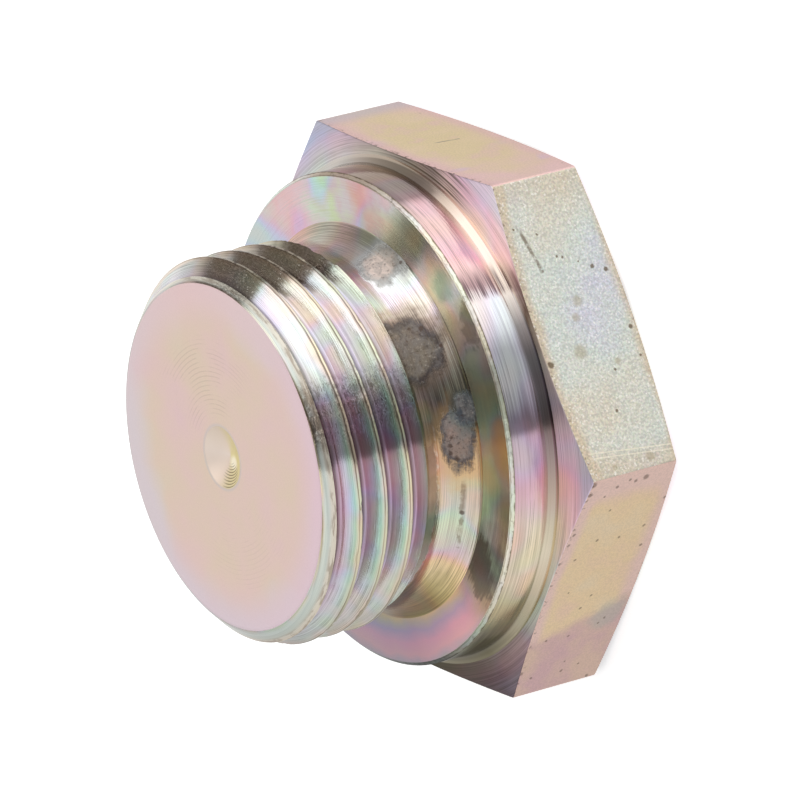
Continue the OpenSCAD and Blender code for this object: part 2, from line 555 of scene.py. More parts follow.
def thread_finish():
    """Bright flanks with drawn marks: cream crests, pale green flanks and lilac down to the root, with
    painted reflections round the axis, painted shade beside the crests and on one side, and painted
    glints.
    """
    # Tones round the axis: pale tints with painted reflections, and a painted dark band of shade from
    # about 76 to 106 degrees
    tints_and_reflections = by_angle(
        (-180, (240, 238, 232)), (-66, (214, 212, 206)), (-20, (240, 236, 230)), (0, (255, 252, 250)),
        (34, (255, 252, 250)), (73.5, (255, 253, 252)), (76, (176, 166, 154)), (96, (138, 124, 110)),
        (106, (214, 208, 200)), (120, (240, 238, 232)))
    s, colour, marks = turned_finish(
        "zinc_thread", tints_and_reflections, film=(3.0, 0.3), spacing=0.05, dim=0.3, streaks=0.6)

    # Film across one groove: phase goes from root to root, with the crest at 0.5. Its dark stops beside
    # the crest are painted shade.
    wind = (s.z - FACE_Z) / PITCH - s.turn + 0.75
    phase = s.number("FRACT", wind + 0.5 + s.wobble(1.2, 0.05))
    waver = s.wobble(0.8, 0.06, 3.0, shift=3.0)
    film = s.ramp(phase, [
        (0.0, (170, 162, 166)), (0.1, (220, 214, 214)), (0.38, (236, 230, 222)),
        (0.425, (150, 132, 108)), (0.45, (160, 142, 118)), (0.468, (252, 248, 228)),
        (0.53, (254, 250, 232)), (0.55, (140, 124, 106)), (0.58, (255, 250, 238)),
        (0.68, (246, 254, 248)), (0.8, (250, 252, 255)), (0.9, (236, 232, 242)),
        (0.96, (204, 196, 208)), (1.0, (170, 162, 166))])
    tinted = s.sector(-50.4, -9, 21.6, 39.6, waver)
    film = s.mix(tinted * 0.6, film, s.ramp(phase, [
        (0.0, (200, 176, 192)), (0.4, (214, 200, 206)), (0.56, (255, 255, 246)),
        (0.64, (160, 226, 218)), (0.74, (196, 206, 250)), (0.86, (220, 168, 222)),
        (1.0, (198, 166, 188))]), "MULTIPLY")

    # Painted shade: brown lines beside the crests, stronger on one side; and the crests themselves,
    # lighter or darker round the axis as painted reflection
    shade_line_side = s.sector(0, 14.4, 46.8, 64.8, waver)
    shade_lines = s.ramp(phase, [
        (0.38, 0.0), (0.41, 1.0), (0.445, 1.0), (0.46, 0.0), (0.54, 0.0), (0.55, 1.0), (0.575, 0.9),
        (0.6, 0.0)])
    film = s.mix(s.dimmed(shade_lines, shade_line_side * 0.5), film, (80, 70, 50))
    film = s.dimmed(colour, film)
    off_crest = s.number("ABSOLUTE", phase - 0.5)
    # Painted reflection: brightness of the crests round the axis
    crest_light = s.around(
        (-180, 1.0), (-80, 0.5), (-40, 0.6), (-22, 1.0), (44, 1.0), (52, 0.8), (64, 0.8), (70, 0.5),
        (77, 1.0))
    film = s.mix(s.between(off_crest, 0.07, 0.05), film, s.dimmed(film, crest_light))

    # Dirt on a short stretch and on the shaded side, painted shade over the whole of that side, and
    # painted glints where the shade begins
    shaded = s.sector(72, 76.32, 99, 102.6)
    speckled = s.sector(13.68, 23.4, 32.4, 40.32) + shaded
    dirt = s.between(s.cuts(0.12, 30.0, 4.0), 0.5, 0.6) * speckled
    film = s.mix(dirt * 0.45, film, (92, 78, 62))
    # Painted shade over the shaded side
    film = s.mix(shaded * 0.35, film, (96, 82, 66))
    # Painted glints: bright flecks where the shade begins
    painted_glints = s.between(s.grain(0.14, 4.0, shift=15.0, rough=0.7), 0.58, 0.66) * shaded
    painted_glints = painted_glints * s.beyond(88.2, 79.2)
    film = s.mix(painted_glints * 0.5, film, (255, 250, 240))

    # Broad cream crests on one side, dimmed by the painted light of the crests, and dull ones along the
    # shade
    broad = s.beyond(0, -14.4, waver) * s.beyond(-108, -86.4)
    broad = broad * s.between(off_crest + s.wobble(0.6, 0.03, 3.0), 0.08, 0.05)
    film = s.mix(broad * 0.5, film, s.dimmed(crest_light, (228, 218, 190)))
    top = s.sector(74, 80, 108, 116)
    top = top * s.between(off_crest, 0.06, 0.03) * s.between(s.grain(0.5, 4.0, rough=0.6), 0.4, 0.5)
    film = s.mix(top * 0.5, film, (220, 208, 188))

    # Bevel at the end, lighter and darker round the axis as painted light and shade
    bevel_start = THREAD_R + END_Z - END_BEVEL_W
    bevel = s.between(s.r + s.z, bevel_start - 0.05, bevel_start + 0.02)
    outward = (s.r - THREAD_R) / END_BEVEL_W + 1 + s.wobble(0.5, 0.16, 3.0)
    end = s.ramp(outward, [
        (0.2, (220, 231, 225)), (0.5, (226, 230, 218)), (0.66, (234, 228, 208)),
        (0.82, (236, 218, 204)), (0.9, (240, 232, 222)), (0.95, (120, 100, 82)),
        (1.0, (214, 196, 176))])
    # Painted light and shade of the bevel round the axis
    bevel_light = s.around(
        (-180, 1.0), (-84, 0.86), (0, 1.0), (24, 0.96), (36, 0.84), (60, 0.8), (74, 0.76), (84, 0.92),
        (96, 1.0))
    end = s.dimmed(end, s.dimmed(bevel_light, s.between(marks, 0.25, 0.7) * 0.14 + 0.89))
    blotched = s.between(s.grain(0.45, 3.0, rough=0.7), 0.42, 0.56) * speckled
    end = s.mix(speckled * s.beyond(72, 36) * 0.35, end, (176, 146, 134))
    end = s.mix(blotched * s.beyond(72, 36) * 0.55 + blotched * 0.18, end, (104, 86, 68))
    colour = s.mix(bevel, film, end)

    # Worn edge of the groove that runs out through the bevel, pale under the bevel's painted light
    to_groove = (THREAD_R - s.r) * TAN_FLANK - off_crest * PITCH + PITCH / 16
    worn_side = s.sector(-100.8, -72, 100.8, 122.4)
    near = s.between(to_groove, 0.45, 0.16) * bevel
    colour = s.mix(near * 0.6, colour, s.dimmed(bevel_light, (240, 220, 198)))
    near = near * worn_side * s.between(s.cuts(0.3, 7.0, 4.0), 0.48, 0.6)
    colour = s.mix(near * 0.6, colour, (112, 88, 66))

    # Burrs at the foot of the undercut's wall
    seam = s.number("ABSOLUTE", s.z + s.wobble(0.8, 0.4, 4.0, rough=0.6) - WALL_FOOT_Z)
    burrs = s.ramp(s.grain(0.35, 3.0, shift=12.0), [
        (0.4, (120, 100, 86)), (0.48, (190, 172, 158)), (0.6, (240, 228, 218))])
    colour = s.mix(s.between(seam, 0.08, 0.03) * 0.75, colour, burrs)
    dull = bevel * (s.sector(84, 92, 98, 106) + s.sector(4, 10, 14, 20))
    metallic = dull * -0.4 - top * 0.3 + 1.0
    return s.finish(colour, 0.04 + marks * 0.05, metallic, marks * 0.004 + dirt * 0.008)


# Stains of the undercut: place, stretch, size, and the colours of the core, its ring and its halo
STAINS = [
    ((3.3, 8.9, 8.75), (0.7, 0.8, 1.1), 1.05, (98, 102, 104), (112, 116, 114), (140, 140, 132)),
    ((2.9, 8.95, 9.2), (0.8, 0.8, 1.2), 1.45, (230, 212, 202), (188, 188, 186), (240, 244, 244)),
    ((6.9, 5.8, 10.4), (0.7, 0.7, 0.75), 1.75, (124, 112, 98), (60, 50, 50), (150, 130, 112)),
    ((9.2, 1.4, 9.2), (0.9, 0.52, 1.0), 1.2, (152, 132, 124), (84, 82, 90), (224, 186, 140)),
    ((9.3, 3.0, 8.7), (1.2, 0.8, 1.3), 1.05, (70, 76, 84), (86, 96, 102), (112, 120, 116)),
]


def neck_finish():
    """The undercut: bright and brown zones round the axis that are partly tints and partly painted
    reflections, and crusted stains with rings round them.
    """
    # Tones round the axis: tints with painted reflections, light and dark
    tints_and_reflections = by_angle(
        (-180, (206, 196, 186)), (-88, (176, 172, 148)), (-72, (138, 112, 76)), (-58, (150, 132, 92)),
        (-46, (196, 180, 134)), (-36, (246, 222, 186)), (-29, (240, 210, 210)), (-19, (224, 232, 216)),
        (-6, (236, 218, 188)), (2, (230, 190, 160)), (14, (200, 186, 168)), (24, (186, 175, 160)),
        (44, (206, 202, 204)), (51, (250, 247, 248)), (72, (255, 252, 250)), (82, (236, 226, 206)),
        (98, (224, 204, 198)), (108, (206, 208, 200)), (120, (214, 176, 168)))
    s, colour, marks = turned_finish(
        "zinc_neck", tints_and_reflections, film=(3.0, 0.4), spacing=0.08, dim=0.34, streaks=0.6)
    waver = s.wobble(0.9, 0.06, 3.0, shift=3.0)
    crust = s.grain(0.17, 4.0, rough=0.75)
    clouds = s.grain(0.5, 3.0, shift=6.0, rough=0.6)
    edge = s.wobble(0.9, 1.1, 4.0, shift=1.0, rough=0.6)
    drawn = (marks - 0.5) * 0.5

    # Stains, and the brown sweep between two of them
    sweep = s.between(s.gap_to((7.9, 4.9, 9.0), (0.6, 0.6, 0.9)) + edge * 0.7, 1.9, 1.1)
    colour = s.mix(sweep * s.between(marks, 0.58, 0.44) * 0.6, colour, (72, 56, 56))
    stained = 0.0
    for centre, stretch, size, core, rim, halo in STAINS:
        gap = (s.gap_to(centre, stretch) + edge + drawn) / size
        tint = s.ramp(gap, [(0.0, core), (0.4, core), (0.62, rim), (0.84, halo), (1.0, halo)])
        colour = s.mix(s.between(gap, 1.25, 0.65) * 0.92, colour, tint)
        stained = s.between(gap, 0.85, 0.5) + stained
    stained = s.clamped(stained)
    colour = s.mix(stained * s.between(clouds, 0.42, 0.6) * 0.4, colour, (136, 132, 130))
    colour = s.mix(stained * s.between(crust, 0.48, 0.34) * 0.6, colour, (66, 54, 50))
    colour = s.mix(stained * s.between(crust, 0.56, 0.68) * 0.35, colour, (206, 196, 188))

    # Wall at the thread, in tones round the axis that are partly tints and partly painted reflections,
    # with a ragged lip below it
    wall_tints_and_reflections = s.ramp(s.turn + waver, by_angle(
        (-180, (190, 182, 178)), (-75, (200, 196, 200)), (-48, (196, 190, 196)),
        (-36, (176, 182, 172)), (-18, (148, 164, 138)), (-6, (190, 160, 142)), (8, (140, 112, 94)),
        (22, (84, 74, 62)), (44, (150, 140, 130)), (66, (212, 204, 198)), (80, (150, 140, 128)),
        (100, (116, 102, 90))))
    ragged = s.z + s.wobble(0.9, 0.6, 4.0, rough=0.6)
    strip = s.between(ragged, 10.3, 10.42) * s.beyond(16, 4, waver)
    colour = s.mix(strip * 0.85, colour, wall_tints_and_reflections)
    lip = s.between(ragged, 10.2, 10.28) * s.between(ragged, 10.42, 10.34) * s.beyond(22, 8, waver)
    lip = lip * s.between(s.grain(0.35, 3.0, shift=12.0), 0.4, 0.55)
    colour = s.mix(lip * 0.7, colour, (232, 216, 204))

    # Pits, a streak that wanders, dark arcs of painted shade in the corner at the foot, and a burr
    pits = s.specks(s.place, [
        (3.9, 9.3, 8.6, 0.12), (3.7, 9.2, 8.8, 0.1), (3.95, 9.0, 8.9, 0.07), (7.6, 5.9, 8.9, 0.12),
        (6.5, 6.6, 9.3, 0.16), (6.2, 6.6, 9.8, 0.1), (6.6, 6.2, 10.2, 0.09), (9.1, 1.6, 9.5, 0.12),
        (9.1, 1.2, 9.6, 0.14), (9.1, 0.8, 9.6, 0.13), (9.2, 0.5, 9.3, 0.16), (9.3, 0.3, 9.1, 0.12),
        (9.1, -2.4, 9.08, 0.15)])
    wander = s.node("CombineXYZ", None, {2: s.wobble(0.7, 0.5, 4.0, rough=0.7)})
    wander = s.vector("ADD", s.place, wander)
    streak = s.scratch(wander, (9.4, -0.75, 9.1), (9.0, -2.85, 9.1), 0.2)
    streak = streak + s.scratch(wander, (9.0, -2.85, 9.1), (8.47, -4.4, 9.0), 0.16)
    streak = s.clamped(streak) * s.between(s.grain(0.9, 3.0, rough=0.6), 0.3, 0.55)
    colour = s.mix(streak * 0.6, colour, (124, 102, 80))
    # Painted shade: dark arcs in the corner at the foot, on one side
    corner_shade = s.between(s.z, FACE_Z + 0.8, FACE_Z + 0.15) * s.sector(57.6, 72, 108, 126)
    colour = s.mix(corner_shade * s.between(marks, 0.62, 0.5) * 0.45, colour, (112, 104, 84))
    colour = s.mix(pits * 0.75, colour, (80, 60, 50))
    burr = s.scratch(s.place, (8.9, 3.6, 11.6), (9.3, 2.5, 11.3), 0.12)
    burr = burr * s.between(s.grain(0.25), 0.35, 0.5)
    colour = s.mix(burr, colour, (255, 250, 244))

    low_strip = strip * s.beyond(-24, -42)
    rough = marks * 0.08 + stained * 0.34 + low_strip * 0.3 + 0.07
    metallic = stained * -0.5 - strip * 0.4 - low_strip * 0.4 + 1.0
    return s.finish(colour, rough, metallic, marks * 0.004 + stained * crust * 0.05)


def collar_face_finish():
    """The sealing face of the collar: a film in pink, lilac and green over painted reflections round
    the axis, with a few brown patches.
    """
    # Tones round the axis: tints with painted reflections, light and dark
    tints_and_reflections = by_angle(
        (-180, (196, 190, 200)), (-84, (152, 138, 147)), (-60, (180, 147, 155)),
        (-48, (206, 160, 168)), (-36, (172, 142, 126)), (-24, (150, 148, 136)), (-10, (228, 232, 214)),
        (2, (250, 238, 212)), (12, (206, 232, 236)), (22, (240, 238, 230)), (36, (230, 232, 226)),
        (48, (240, 252, 246)), (60, (252, 240, 222)), (72, (228, 220, 206)), (84, (208, 170, 170)),
        (94, (200, 194, 206)), (102, (196, 214, 190)), (108, (200, 218, 214)), (115, (214, 200, 220)),
        (122, (220, 190, 206)), (134, (204, 206, 216)))
    s, colour, marks = turned_finish(
        "zinc_collar_face", tints_and_reflections, film=(3.4, 0.5), spacing=0.1, dim=0.1, streaks=0.1, sway=0.09)
    # On one side: rings of film tint over tones that are partly tints and partly painted reflections
    reflection_side = s.sector(-128, -112, -46, -34)
    rings = s.ramp((s.r - MOUTH_R) / 2.5 + s.wobble(1.5, 0.3), [
        (0.0, (240, 240, 190)), (0.12, (214, 226, 214)), (0.26, (206, 208, 240)),
        (0.5, (250, 214, 236)), (0.75, (255, 226, 232)), (0.9, (224, 226, 236)),
        (1.0, (200, 226, 220))])
    low_tints_and_reflections = s.around(
        (-110, (166, 160, 164)), (-84, (168, 155, 158)), (-72, (172, 153, 158)),
        (-60, (192, 165, 166)), (-48, (210, 177, 174)), (-36, (212, 178, 172)))
    colour = s.mix(reflection_side * 0.9, colour, s.dimmed(low_tints_and_reflections, rings))
    patch = s.patch((7.4, 8.8, FACE_Z), 1.2, 0.4)
    colour = s.mix(patch * 0.6, colour, (150, 182, 168))
    blotch = s.patch((9.6, 7.4, FACE_Z), 1.0, 0.5, (1.0, 0.6, 1.0), 0.5, 1.6)
    colour = s.mix(blotch * 0.5, colour, (84, 78, 72))
    rust = s.patch((12.0, 1.5, FACE_Z), 1.3, 0.5, (1.0, 0.6, 1.0))
    colour = s.mix(rust * 0.4, colour, (200, 152, 88))
    gap = s.gap_to((9.7, -5.3, FACE_Z), (1.0, 0.6, 1.0)) + (marks - 0.5) * 1.4
    wedge = s.between(gap + s.wobble(0.6, 1.2, 3.0), 1.2, 0.8)
    colour = s.mix(wedge * 0.65, colour, (84, 70, 60))
    return s.finish(colour, 0.2 + marks * 0.1, 1.0, marks * 0.0025)


def collar_rim_finish():
    """The bevel of the collar, bright and dented, with painted reflections round the axis and a painted
    highlight along its middle.
    """
    # Tones round the axis: tints with painted reflections, dark on one side
    tints_and_reflections = by_angle(
        (-180, (200, 200, 190)), (-84, (28, 34, 28)), (-72, (36, 42, 34)), (-60, (106, 110, 104)),
        (-46, (186, 192, 182)), (-36, (226, 230, 214)), (-20, (250, 252, 242)), (10, (250, 250, 238)),
        (24, (222, 224, 208)), (38, (250, 246, 236)), (78, (250, 246, 240)), (86, (222, 206, 198)),
        (104, (196, 184, 170)), (110, (216, 212, 202)), (124, (236, 244, 240)))
    s, colour, _ = turned_finish(
        "zinc_collar_rim", tints_and_reflections, film=(3.0, 0.25), spacing=0.1, dim=0.15, streaks=0.3)
    across = (s.z - FACE_Z) / RIM_W + 1 + s.wobble(0.5, 0.7, 4.0, rough=0.6)
    # Painted highlight: a bright band along the middle of the bevel, darker towards its edges
    colour = s.dimmed(colour, s.ramp(across, [
        (0.0, (140, 130, 116)), (0.12, (176, 168, 154)), (0.24, (255, 252, 246)),
        (0.66, (255, 255, 252)), (0.8, (190, 182, 168)), (0.9, (214, 208, 198)),
        (1.0, (246, 243, 236))]))
    worn = s.between(s.grain(0.5, 4.0, shift=9.0, rough=0.7), 0.56, 0.66)
    colour = s.mix(worn * 0.45, colour, (104, 94, 76))
    return s.finish(colour, 0.3, 0.9, s.grain(0.3) * 0.03)


def collar_side_finish():
    """The side of the collar: bright and pink, with painted reflections round the axis, and painted
    shade and a painted highlight at its foot.
    """
    # Tones round the axis: tints with painted reflections, light and dark
    tints_and_reflections = by_angle(
        (-180, (206, 194, 190)), (-68, (90, 86, 62)), (-60, (94, 90, 60)), (-52, (150, 146, 112)),
        (-46, (200, 196, 162)), (-38, (192, 174, 142)), (-26, (240, 222, 190)), (-12, (252, 228, 208)),
        (0, (232, 200, 212)), (9, (222, 196, 214)), (12, (190, 176, 190)), (22, (248, 240, 252)),
        (40, (255, 255, 255)), (44, (196, 168, 176)), (51, (236, 204, 210)), (60, (242, 198, 194)),
        (70, (240, 200, 200)), (82, (244, 220, 208)), (104, (232, 206, 196)), (142, (216, 206, 210)))
    s, colour, marks = turned_finish(
        "zinc_collar_side", tints_and_reflections, film=(4.0, 0.3), spacing=0.1, dim=0.3, streaks=0.35)
    # Painted light and shade at the foot, round the axis: dark bands in the corner and a bright
    # highlight from about 44 to 62 degrees
    foot_light_and_shade = s.around(
        (-180, (190, 190, 180)), (-60, (120, 112, 90)), (-20, (226, 214, 190)), (8, (120, 108, 92)),
        (12, (92, 84, 68)), (24, (100, 92, 78)), (34, (128, 118, 104)), (44, (246, 232, 214)),
        (62, (252, 236, 220)), (70, (200, 184, 164)), (79, (134, 124, 106)), (98, (156, 148, 134)),
        (114, (190, 190, 180)))
    near_foot = s.between(s.z + (marks - 0.5) * 0.3, HEAD_H + 0.75, HEAD_H + 0.3)
    colour = s.mix(near_foot * 0.75, colour, foot_light_and_shade)
    spikes = s.sector(41, 43, 45, 51) * s.between(marks, 0.42, 0.56)
    colour = s.mix(spikes * 0.8, colour, (90, 74, 78))
    lower = s.beyond(-26, -44)
    return s.finish(colour, 0.05 + marks * 0.05 + lower * 0.22, 1.0, marks * 0.005)


def head_front_finish():
    """The turned slope round the collar: cream at the collar's foot, then pink, and lilac outwards,
    over painted reflections round the axis.
    """
    # Tones round the axis: tints with painted reflections, light and dark
    tints_and_reflections = by_angle(
        (-180, (206, 204, 212)), (-84, (58, 58, 36)), (-64, (96, 82, 80)), (-46, (150, 140, 146)),
        (-28, (214, 232, 232)), (-12, (254, 238, 238)), (4, (254, 244, 250)), (12, (255, 255, 255)),
        (24, (244, 240, 230)), (35, (114, 96, 84)), (41, (200, 186, 186)), (46, (254, 252, 252)),
        (56, (254, 248, 252)), (64, (248, 232, 238)), (70, (240, 216, 218)), (77, (166, 156, 152)),
        (88, (150, 146, 148)), (98, (178, 176, 178)), (112, (206, 206, 214)), (132, (206, 216, 226)))
    s, colour, marks = turned_finish(
        "zinc_head_front", tints_and_reflections, film=(4.0, 0.2), spacing=0.1, dim=0.36, streaks=0.35)
    outward = s.ramp(s.between(s.r + s.wobble(2.0, 0.6), 13.0, 15.4), [
        (0.0, (255, 248, 226)), (0.3, (255, 228, 226)), (0.6, (252, 222, 236)),
        (0.85, (222, 222, 240))])
    pink = s.around(
        (-180, 0.8), (0, 0.8), (10, 0.3), (15, 0.3), (24, 0.8), (42, 0.8), (48, 0.6), (60, 0.8))
    colour = s.mix(pink, colour, outward, "MULTIPLY")
    spikes = s.sector(60, 70, 84, 96) * s.between(s.cuts(0.14, 0.8), 0.42, 0.58)
    spikes = spikes * s.between(s.r, 15.0, 14.0)
    colour = s.mix(spikes * 0.85, colour, (78, 66, 50))
    return s.finish(colour, 0.24 + marks * 0.12, 1.0, marks * 0.006)


class Flat(Surface):
    """The bench of one flat of the hexagon, with the place along it and up it at hand."""

    def __init__(self, name, side):
        super().__init__(name)
        lengthways = (-math.sin(math.radians(side)), math.cos(math.radians(side)), 0)
        self.u = self.vector("DOT_PRODUCT", self.place, lengthways)
        self.at = self.node("CombineXYZ", None, {0: self.u, 1: self.z, 2: 0.0})
        self.waver = self.wobble(1.6, 2.2, 3.0)
        self.front_gap = HEAD_H - (self.r - FRONT_RING_R) * TAN_CORNER - self.z

    def edged(self, colour, mask):
        """Brown dirt and small dents that gather along the edges of the flat."""
        edge = self.between(self.front_gap, 0.3, 0.05) + self.between(self.z, 0.35, 0.05)
        bits = self.between(self.grain(0.2, shift=4.0), 0.56, 0.66)
        return self.mix(edge * bits * mask, colour, (96, 72, 56))

    def spots(self, places):
        """1 on specks, given by their place along the flat, their height and their radius."""
        return self.specks(self.at, [(along, up, 0, radius) for along, up, radius in places])

    def line(self, start, end, width):
        """1 on a scratch between two points, given by their place along the flat and their height."""
        return self.scratch(self.at, (*start, 0), (*end, 0), width)

    def random_specks(self, size, low, high):
        cells = self.node("TexVoronoi", None, {"Vector": self.at, "Scale": 1 / size}, "Distance")
        return self.between(cells, 0.1, 0.05) * self.between(self.grain(2.0, shift=8.0), low, high)


def flat_satin_finish():
    """Satin: a yellow field with pink margins."""
    s = Flat("zinc_flat_satin", 90)
    field = s.between(s.gap_to((0.8, 3.0, 0), (0.3, 0.8, 1), s.at) + s.waver * 0.5, 2.7, 1.2)
    pink = s.ramp(s.grain(2.5), [
        (0.35, (236, 198, 196)), (0.6, (232, 200, 184)), (0.7, (226, 196, 206))])
    yellow = s.ramp(s.grain(1.6, 3.0, shift=3.0), [
        (0.35, (232, 208, 172)), (0.55, (227, 206, 162)), (0.7, (230, 200, 178))])
    colour = s.mix(field, pink, yellow)
    margin = s.between(s.z + s.waver * 0.3, 1.2, 0.2) + s.between(s.front_gap + s.waver * 0.3, 0.8, 0.2)
    colour = s.mix(s.clamped(margin) * 0.6, colour, (230, 190, 188))
    colour = s.mix(s.between(s.u, 5.8, 7.4) * 0.6, colour, (196, 190, 200))
    colour = s.dimmed(colour, s.between(s.grain(0.1), 0.3, 0.7) * 0.14 + 0.84)
    scratch = s.line((0.25, 3.4), (0.05, 2.1), 0.08) * s.between(s.grain(0.5), 0.25, 0.5)
    colour = s.mix(scratch * 0.7, colour, (96, 84, 84))
    colour = s.mix(s.random_specks(0.9, 0.5, 0.6) * 0.4, colour, (130, 100, 84))
    colour = s.edged(colour, 0.7)
    return s.finish(colour, 0.38, 0.3, s.grain(0.12) * 0.006)


def flat_grainy_finish():
    """Grainy, with painted glints on single grains: silver with a green and a lilac cast, beige along
    its edges.
    """
    s = Flat("zinc_flat_grainy", 30)
    colour = s.ramp(s.grain(4.0, 3.0), [
        (0.3, (226, 226, 236)), (0.45, (226, 232, 224)), (0.6, (232, 230, 216)),
        (0.72, (234, 226, 208))])
    gap = s.number("MINIMUM", s.front_gap, s.z)
    edge = s.between(gap + s.waver * 0.3, 0.8, 0.1)
    edge = edge + s.between(s.u, 5.4, 7.4) * 0.6 + s.between(s.u, -6.0, -7.4) * 0.7
    colour = s.mix(s.clamped(edge) * 0.8, colour, (228, 206, 176))
    cells = s.node("TexVoronoi", None, {"Vector": s.place, "Scale": 1 / 0.085}, "Color")
    bright = s.node("SeparateXYZ", None, {0: cells}, "X")
    colour = s.mix(0.3, colour, s.mix(0.75, cells, (255, 255, 255)), "MULTIPLY")
    colour = s.dimmed(colour, s.between(s.grain(0.13, 3.0), 0.3, 0.7) * 0.3 + 0.72)
    # Painted glints: the brightest grains are painted near white
    colour = s.mix(s.between(bright, 0.86, 0.98) * 0.5, colour, (255, 255, 250))
    blotches = [
        (-1.3, 3.8, 0.42), (0.4, 3.4, 0.25), (1.2, 3.0, 0.3), (-2.2, 1.9, 0.2), (-7.3, 4.1, 0.16),
        (-7.2, 1.9, 0.3)]
    colour = s.mix(s.spots(blotches) * 0.45, colour, (160, 144, 100))
    specks = [
        (5.4, 5.2, 0.07), (4.9, 4.0, 0.08), (3.6, 3.3, 0.07), (3.5, 3.0, 0.08), (2.7, 1.5, 0.13),
        (2.4, 0.8, 0.14), (-0.7, 0.5, 0.14), (-1.6, 5.7, 0.2), (-2.2, 0.5, 0.08), (-4.6, 2.9, 0.09),
        (-2.6, 2.2, 0.08), (3.1, 2.2, 0.05)]
    scratch = s.line((5.5, 4.95), (3.05, 4.4), 0.15)
    scratch = scratch * s.between(s.grain(0.4, 4.0, rough=0.7), 0.34, 0.56)
    dark = s.spots(specks) + scratch * 0.85
    colour = s.mix(s.clamped(dark) * 0.85, colour, (104, 84, 58))
    pale = s.line((-6.35, 5.3), (-6.9, 0.4), 0.05) + s.line((-6.6, 5.3), (-7.15, 0.4), 0.05)
    colour = s.mix(pale * 0.5, colour, (250, 242, 220))
    colour = s.edged(colour, 0.6)
    return s.finish(colour, 0.36, 0.3, s.grain(0.12, 3.0) * 0.02 + bright * 0.004)


def flat_specked_finish():
    """Satin: a yellow field with pink margins, mauve at its lower end, and many dark specks."""
    s = Flat("zinc_flat_specked", -30)
    margin = s.between(s.z + s.waver * 0.3, 1.3, 0.4) + s.between(s.front_gap + s.waver * 0.3, 0.9, 0.3)
    margin = s.clamped(margin + s.between(s.u + s.waver * 0.4, 5.6, 6.9))
    yellow = s.ramp(s.grain(3.0, 3.0), [
        (0.35, (238, 206, 178)), (0.5, (238, 211, 170)), (0.65, (236, 213, 178))])
    colour = s.mix(margin, yellow, (236, 203, 191))
    lower = s.between(s.u + s.z * 0.35 + s.waver * 0.6, -1.3, -2.3)
    mauve = s.ramp(s.grain(2.0, 3.0, shift=6.0), [(0.35, (214, 176, 176)), (0.6, (222, 190, 172))])
    colour = s.mix(lower, colour, mauve)
    patch = s.between(s.gap_to((-3.0, 1.3, 0), (0.8, 0.8, 1), s.at) + s.waver * 0.5, 1.1, 0.5)
    colour = s.mix(patch * 0.5, colour, (180, 184, 174))
    colour = s.dimmed(colour, s.between(s.grain(0.1), 0.3, 0.7) * 0.12 + 0.84)
    specks = [
        (7.2, 2.2, 0.2), (7.3, 3.2, 0.1), (7.1, 2.8, 0.12), (7.0, 3.9, 0.12), (7.6, 5.5, 0.2),
        (6.9, 5.5, 0.16), (6.5, 4.5, 0.08), (5.2, 0.4, 0.11), (5.3, 3.8, 0.09), (3.4, 1.1, 0.1),
        (3.2, 3.9, 0.1), (3.0, 2.5, 0.09), (1.9, 0.8, 0.11), (4.1, 5.6, 0.12), (2.1, 4.9, 0.1),
        (3.4, 5.7, 0.1), (-0.4, 4.5, 0.07), (-1.1, 2.9, 0.08), (-1.9, 3.3, 0.09), (-3.2, 1.4, 0.09),
        (-3.5, 1.7, 0.08), (-3.8, 4.8, 0.08), (-3.9, 3.4, 0.08), (-6.6, 3.0, 0.1), (-6.5, 4.9, 0.1),
        (-6.4, 2.0, 0.08), (-7.6, 1.1, 0.12), (-5.9, 3.0, 0.08)]
    dark = s.spots(specks) + s.random_specks(0.8, 0.55, 0.65)
    colour = s.mix(s.clamped(dark) * 0.65, colour, (100, 78, 62))
    colour = s.edged(colour, 0.6)
    return s.finish(colour, 0.36, 0.6, s.grain(0.12) * 0.006)


FINISHES = {
    "end_face": end_face_finish(),
    "thread": thread_finish(),
    "neck": neck_finish(),
    "collar_face": collar_face_finish(),
    "collar_rim": collar_rim_finish(),
    "collar_side": collar_side_finish(),
    "head_front": head_front_finish(),
    "flat_satin": flat_satin_finish(),
    "flat_grainy": flat_grainy_finish(),
    "flat_specked": flat_specked_finish(),
}


# Length of the undercut that has the finish of the neck
NECK_L = 2.2


def finish_at(centre, normal):
    """The name of the finish of a face, from its place in millimetres and its normal."""
    r, z = math.hypot(centre.x, centre.y), centre.z
    if z > FACE_Z + FACE_SLACK:
        if z > END_Z - SLACK or r < MARK_R:
            return "end_face"
        return "thread" if z > FACE_Z + NECK_L else "neck"
    if z > FACE_Z - FACE_SLACK:
        return "collar_face"
    if z > FACE_Z - RIM_W:
        return "collar_rim"
    if z > HEAD_H + SLACK or r < FRONT_RING_R + SLACK and z > HEAD_H - 0.1:
        return "collar_side"
    if abs(normal.z) > 0.5:
        return "head_front"
    turn = round(math.degrees(math.atan2(normal.y, normal.x)) / 60 - 0.5) % 3
    return ("flat_grainy", "flat_satin", "flat_specked")[turn]


plug.data.materials.clear()
for material in FINISHES.values():
    plug.data.materials.append(material)
names = list(FINISHES)
for face in plug.data.polygons:
    face.material_index = names.index(finish_at(face.center / MM, face.normal))

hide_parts("plug")
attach(plug, "root")

# Camera, as in the photograph, in metres and degrees: a long lens, turned about its line of sight
CAMERA_PLACE = (0.3198866, 0.1278639, 0.2185232)
CAMERA_ROTATION = (-22.0212, 55.5404, -4.4363)

# Direction of the camera round the plug, and its height above the horizon
VIEW_TURN = math.radians(21.8)
VIEW_HEIGHT = math.radians(31.6)

# Soft lamp beside the head, with its size and distance in metres
LAMP_SIDE = Vector((0.5, 0.8, 0.35)).normalized()
LAMP_DISTANCE = 0.6
LAMP_SIZE = 0.4
LAMP_POWER = 1.6

FLOOR_SIZE = 2
FLOOR_GLOW = 0.55


